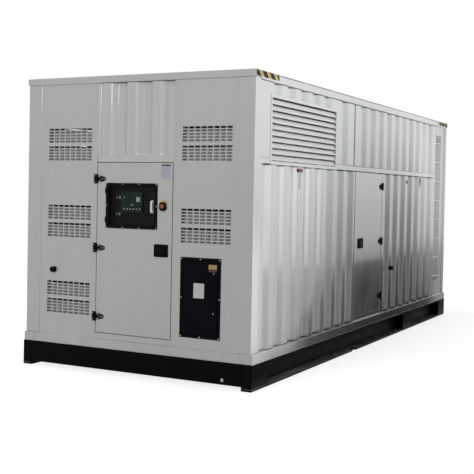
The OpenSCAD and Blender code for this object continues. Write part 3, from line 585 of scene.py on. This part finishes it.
# Hinges: two screws in each fixed plate, and four in each strap that turns with its door
PIN_X, PIN_Y = -0.400, 0.2735      # hinge pins of the access door, and of the side doors
HINGE_OUT = 0.0071                 # outer faces of plates and straps, from the wall's face
PLATE_SCREW = (0.027, 0.028)       # away from the pin, and up and down from the hinge's middle
STRAP = ((0.034, -0.016), (0.034, 0.016), (0.058, 0.0), (0.080, 0.0))      # the same on a strap
hinge_low, hinge_high = (corner.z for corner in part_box("access_door_hinges"))
half_hinge = 0.029
HINGE_Z = (hinge_low + half_hinge, (hinge_low + hinge_high) / 2, hinge_high - half_hinge)
on_plates = [z + dz for z in HINGE_Z for dz in (-PLATE_SCREW[1], PLATE_SCREW[1])]
on_straps = [(u, z + v) for z in HINGE_Z for u, v in STRAP]

heads("access_plate_screws", "enclosure",
      [((PIN_X - PLATE_SCREW[0], END_FACE - HINGE_OUT, z), FRONT) for z in on_plates],
      HINGE_SCREW, ZINC)
heads("hinge_plate_screws", "enclosure",
      [((side * (SIDE_FACE + HINGE_OUT), PIN_Y + PLATE_SCREW[0], z), out)
       for side, out in SIDES for z in on_plates], HINGE_SCREW, HARDWARE)
heads("access_hinge_screws", "access_door",
      [((PIN_X + u, END_FACE - HINGE_OUT, z), FRONT) for u, z in on_straps], HINGE_SCREW, ZINC)
for (side, out), body, name in zip(SIDES, ("right_door", "enclosure"),
                                   ("right_hinge_screws", "left_hinge_screws")):
    heads(name, body,
          [((side * (SIDE_FACE + HINGE_OUT), PIN_Y - u, z), out) for u, z in on_straps],
          HINGE_SCREW, HARDWARE)


# ---------------------------------------------------------------- plates at the control end

# Blank rating plate on the access door
plate("rating_plate", "access_door", (0.287, END_FACE, 1.774), (0.381, END_FACE, 1.900),
      PLATE_THICK, FRONT, RATING, 0.004)
heads("rating_plate_rivets", "access_door",
      [((x, END_FACE - PLATE_THICK, z), FRONT) for x in (0.292, 0.376) for z in (1.779, 1.880)],
      RIVET, ZINC)

# Blank plates on the cable box door
door_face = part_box("cable_box_door")[0].y
plate("cable_door_plate", "cable_door", (0.634, door_face, 0.751), (0.740, door_face, 0.880),
      PLATE_THICK, FRONT, WHITE_PLATE, 0.006)
plate("cable_door_tag", "cable_door", (0.781, door_face, 0.984), (0.862, door_face, 1.046),
      PLATE_THICK, FRONT, YELLOW_TAG, 0.002)

# Controller: its screen, then six pale caps, a lamp and a bare strip
low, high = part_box("controller")
screen_y, panel_y, caps_y = low.y + 0.007, low.y + 0.004, low.y
middle = (low.x + high.x) / 2
plate("controller_screen", "access_door", (high.x - 0.065, screen_y, high.z - 0.084),
      (high.x - 0.025, screen_y, high.z - 0.042), 0.0012, FRONT, SCREEN, 0.003)
CAPS, CAP_PITCH, CAP_SHIFT, MARK_SEAT = 6, 0.0335, 0.008, 0.0002
mesh = bmesh.new()
for k in range(CAPS):
    x = middle + CAP_SHIFT + (k - (CAPS - 1) / 2) * CAP_PITCH
    turned(mesh, [(0.0068, -MARK_SEAT), (0.0068, 0.0006), (0.0058, 0.0010)], 16,
           seated((x, caps_y, low.z + 0.032), FRONT))
turned(mesh, [(0.0050, -MARK_SEAT), (0.0050, 0.0010), (0.0034, 0.0018)], 16,
       seated((low.x + 0.036, panel_y, high.z - 0.048), FRONT))
thin_plate(mesh, (middle - 0.007, panel_y, low.z + 0.065), (middle + 0.019, panel_y, low.z + 0.073),
           MARK_THICK, FRONT, 0.001)
piece("controller_marks", mesh, PALE, "access_door")

# Two fields on the face of each gauge: (shift, half width, half height)
low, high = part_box("gauges")
gauge_y = low.y + 0.009
middle, half_gauge = (low.x + high.x) / 2, 0.028
mesh = bmesh.new()
for z in (high.z - half_gauge, low.z + half_gauge):
    for shift, half_x, half_z in ((-0.016, 0.005, 0.006), (0.011, 0.009, 0.010)):
        thin_plate(mesh, (middle + shift - half_x, gauge_y, z - half_z),
                   (middle + shift + half_x, gauge_y, z + half_z), MARK_THICK, FRONT, 0.001)
piece("gauge_displays", mesh, PALE, "access_door")


# ---------------------------------------------------------------- marks on the long side

# A small dark red block under the middle rail, and a plug
block_x = SIDE_FACE - 0.012
plate("side_red_block", "enclosure", (block_x, -2.118, 1.866), (block_x, -2.025, 1.897),
      0.022, RIGHT, DARK_RED, 0.003)
mesh = bmesh.new()
turned(mesh, [(0.019, -SEAT), (0.019, 0.004), (0.015, 0.007), (0.007, 0.007), (0.006, 0.003)],
       24, seated((SIDE_FACE, 1.220, 1.838), RIGHT))
piece("side_plug", mesh, RUBBER, "enclosure")

# A run of rust, as a ragged thin film: one half of its outline, then the same mirrored
ragged = random.Random(11)
RUN_Y, RUN_Z, RUN_HALF_Y, RUN_HALF_Z, RUN_THICK = 1.780, 1.842, 0.036, 0.056, 0.0004
edge = [(0.4, 1.0), (0.8, 0.8), (1.0, 0.5), (0.8, 0.2), (0.7, -0.3), (0.5, -0.8), (0.0, -1.0)]
edge += [(-u, v) for u, v in reversed(edge[:-1])]
rim = [(RUN_Y + RUN_HALF_Y * u * ragged.uniform(0.8, 1.1), RUN_Z + RUN_HALF_Z * v)
       for u, v in edge]
mesh = bmesh.new()
skin(mesh, [[(SIDE_FACE + out, y, z) for y, z in rim] for out in (0.0, RUN_THICK)])
piece("side_rust_run", mesh, RUST, "enclosure")

# A pale tag on the near foot
foot_x = 1.2184
plate("foot_tag", "enclosure", (foot_x, -2.824, 0.186), (foot_x, -2.806, 0.222),
      FILM_THICK, RIGHT, GREY_TAG, 0.002)


# ---------------------------------------------------------------- sealant, dark dashes and tape

# A fillet of sealant in the step where the panel over the door meets the wall beside it: its
# outline seen from above, between the door's upper edge and the panel's
low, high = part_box("front_wall_over_door")
REACH, RISE, DEPTH, SUNK, STEPS = 0.0297, 0.0138, 0.031, 0.0002, 6
start, door_top = low.x - SUNK, 1.9905
bend = [(start + REACH * k / STEPS,
         END_FACE + SUNK + RISE * math.sin(math.pi / 2 * k / STEPS)) for k in range(STEPS + 1)]
bend.append((start, END_FACE + DEPTH))
mesh = bmesh.new()
skin(mesh, [[(x, y, z) for x, y in bend] for z in (door_top, high.z - 0.0005)])
piece("panel_fillet", mesh, PANEL_LIT, "enclosure")


SHORTEST = 0.15        # no dash starts closer than this to the end of its joint


def dark_dashes(name, x, start, end, length, more, gap, low, high):
    """Dark dashes in uneven lengths along both long sides, between two heights."""
    mesh = bmesh.new()
    for side, out in SIDES:
        y = start
        while y < end - SHORTEST:
            long = length + more * ragged.random()
            thin_plate(mesh, (side * x, y, low), (side * x, min(y + long, end), high),
                       FILM_THICK, out, 0.002)
            y += long + gap
    piece(name, mesh, DARK_DASH, "enclosure")


# Under the middle rails, a painted shadow in dashes; and a dark line in dashes along the roof's
# edges
low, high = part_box("mid_rails")
dark_dashes("mid_rail_shadow_dashes", high.x, -2.840, 2.45, length=0.40, more=0.08, gap=0.035,
      low=low.z + 0.0006, high=low.z + 0.0075)
low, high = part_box("top_side_rails")
dark_dashes("roof_edge_dark_dashes", high.x, -2.560, 2.55, length=0.50, more=0.15, gap=0.03,
      low=high.z - 0.013, high=high.z - 0.006)

# Hazard tape on the outer faces of the top side rails, at both ends
mesh = bmesh.new()
for side, out in SIDES:
    x = side * high.x
    for start, end in ((-3.020, -2.580), (2.570, 3.020)):
        thin_plate(mesh, (x, start, low.z + 0.019), (x, end, high.z - 0.006),
                   FILM_THICK, out, 0.002)
piece("hazard_tape", mesh, TAPE, "enclosure")

# Earth stud on the beam at the control end
heads("earth_stud", "enclosure", [((0.941, -3.029, 0.076), FRONT)], STUD, ZINC, make=hex_head)


# ---------------------------------------------------------------- stage

FADE_FROM, FADE_TO = 4.0, 8.0      # distances from the object's middle at which the floor fades


def floor_material():
    """Pale floor that keeps the object's shadow and fades to white far away."""
    t = Surface("floor_pale")
    seen = t.seen()
    matt = t.add("BsdfDiffuse", colour((0.50, 0.50, 0.50)))
    lift = t.add("Emission", colour(WHITE), t.times(seen, 0.80))
    pale = t.add("AddShader", matt.outputs[0], lift.outputs[0])
    white = t.add("Emission", colour(WHITE), 1.0)
    away = t.calc("SQRT", t.calc("ADD", t.calc("POWER", t.x, 2.0), t.calc("POWER", t.y, 2.0)))
    t.blend_out(t.times(t.ramp(away, FADE_FROM, FADE_TO), seen), pale, white)
    return t.material


def card_material():
    """Dark where the long side's gloss should be quiet, clear elsewhere, with soft edges."""
    t = Surface("gloss_card")
    # The photograph was taken this far out from the wall, and this far back along it. Out is a
    # point's share of that distance, and along is the Y on the wall where it shows mirrored.
    wall, distance, back = 1.2, 3.4, 9.8
    out = t.calc("DIVIDE", t.calc("SUBTRACT", t.x, wall), distance)
    along = t.calc("DIVIDE", t.calc("SUBTRACT", t.y, t.times(out, back)),
                   t.calc("ADD", out, 1.0))
    reach = t.ramp(along, -2.4, -0.5, 0.20, 1.30)
    strong = t.times(t.ramp(t.calc("SUBTRACT", out, reach), 0.14, -0.14),
                     t.ramp(along, 2.7, 2.1, 0.45, 0.95))
    weak = t.times(t.ramp(out, 2.6, 0.6, 0.0, 0.45), t.ramp(along, -2.7, -2.0))
    t.blend_out(t.calc("MAXIMUM", strong, weak), t.add("BsdfTransparent"),
                t.add("BsdfDiffuse", colour((0.01, 0.01, 0.01))))
    return t.material


def flat_sheet(name, low, high, z, material):
    """A level rectangle that isn't part of the object."""
    mesh = bmesh.new()
    corners = ((low[0], low[1]), (high[0], low[1]), (high[0], high[1]), (low[0], high[1]))
    mesh.faces.new([mesh.verts.new((x, y, z)) for x, y in corners])
    obj = linked(name, mesh, material)
    return obj


flat_sheet("floor", (-90, -90), (90, 90), 0, floor_material())
card = flat_sheet("gloss_card", (1.3, -4), (12, 40), 0.03, card_material())
for ray in ("camera", "shadow", "transmission", "volume_scatter", "diffuse"):
    setattr(card, "visible_" + ray, False)

# The world is white where it is seen, and only a faint cool light on the object
studio = bpy.data.worlds.new("studio")
bpy.context.scene.world = studio
sky = Tree(studio, "OutputWorld")
sky.blend_out(sky.seen(), sky.add("Background", colour((0.93, 0.97, 1.0)), 0.05),
              sky.add("Background", colour(WHITE), 1.0))


def lamp(name, at, aim, power, size, spread=180, mirrored=False):
    """A soft rectangular lamp. Only a mirrored one shows in the gloss."""
    data = bpy.data.lights.new(name, "AREA")
    data.shape = "RECTANGLE"
    data.size, data.size_y = size
    data.energy = power
    data.spread = math.radians(spread)
    obj = bpy.data.objects.new(name, data)
    obj.location = at
    obj.rotation_mode = "QUATERNION"
    obj.rotation_quaternion = (Vector(aim) - Vector(at)).to_track_quat("-Z", "Y")
    obj.visible_camera = False
    obj.visible_glossy = mirrored
    bpy.context.scene.collection.objects.link(obj)


# Beside the long side, mostly along its normal
lamp("side_key", at=(4.2, -0.9, 3.3), aim=(1.2, -0.9, 2.65), power=22, size=(7.0, 0.6), spread=50)
lamp("near_fill", at=(5.6, -1.2, 1.8), aim=(1.2, -2.8, 1.1), power=8, size=(2.0, 2.0), spread=50)
lamp("side_fill", at=(6.0, -2.0, 1.6), aim=(1.2, -2.9, 1.1), power=5, size=(2.0, 2.0), spread=60,
     mirrored=True)
lamp("far_fill", at=(5.5, 1.2, 3.2), aim=(1.2, 1.6, 2.25), power=1, size=(1.5, 1.5), spread=42)
lamp("post_fill", at=(2.6, -2.70, 0.95), aim=(1.2, -3.02, 0.68), power=0.6, size=(0.2, 1.1),
     spread=30)
lamp("niche_fill", at=(1.9, 1.2, 1.7), aim=(1.12, 2.70, 1.7), power=2.3, size=(0.3, 1.9),
     spread=70)

# All round and above
lamp("top_key", at=(0.5, -8.0, 8.0), aim=(0.3, -3.0, 2.4), power=67, size=(5.0, 2.0))
lamp("end_key", at=(0.0, -15.0, 5.5), aim=(0.0, -3.0, 1.6), power=478, size=(4.0, 4.0),
     mirrored=True)
lamp("left_fill", at=(-12.0, 0.0, 4.5), aim=(-1.2, 0.0, 1.6), power=900, size=(8.0, 4.0))
lamp("rear_fill", at=(-0.5, 15.0, 5.5), aim=(0.0, 3.0, 1.4), power=526, size=(8.0, 5.0))
lamp("top_fill", at=(0.0, 0.0, 9.0), aim=(0.0, 0.0, 2.7), power=160, size=(3.0, 6.0))


# ---------------------------------------------------------------- camera

CAMERA_AT = (4.627, -9.819, 1.668)
HEADING, DOWN, ROLL = 26.95, 1.21, 1.14      # degrees, heading from +Y towards -X
LENS, SENSOR = 69.55, 36.0                   # mm
SHIFT = (-0.0274, -0.0527)                   # of the picture's width


def photo_camera():
    """The photograph's camera, found from its vanishing points."""
    data = bpy.data.cameras.new("camera")
    data.sensor_width = SENSOR
    data.lens = LENS
    data.shift_x, data.shift_y = SHIFT
    data.clip_end = 400.0
    obj = bpy.data.objects.new("camera", data)
    turn = Matrix.Rotation(math.radians(HEADING), 4, "Z")
    tilt = Matrix.Rotation(math.radians(90 - DOWN), 4, "X")
    roll = Matrix.Rotation(math.radians(ROLL), 4, "Z")
    obj.matrix_world = Matrix.Translation(CAMERA_AT) @ turn @ tilt @ roll
    bpy.context.scene.collection.objects.link(obj)
    bpy.context.scene.camera = obj


photo_camera()
bpy.context.scene.view_settings.view_transform = "Standard"
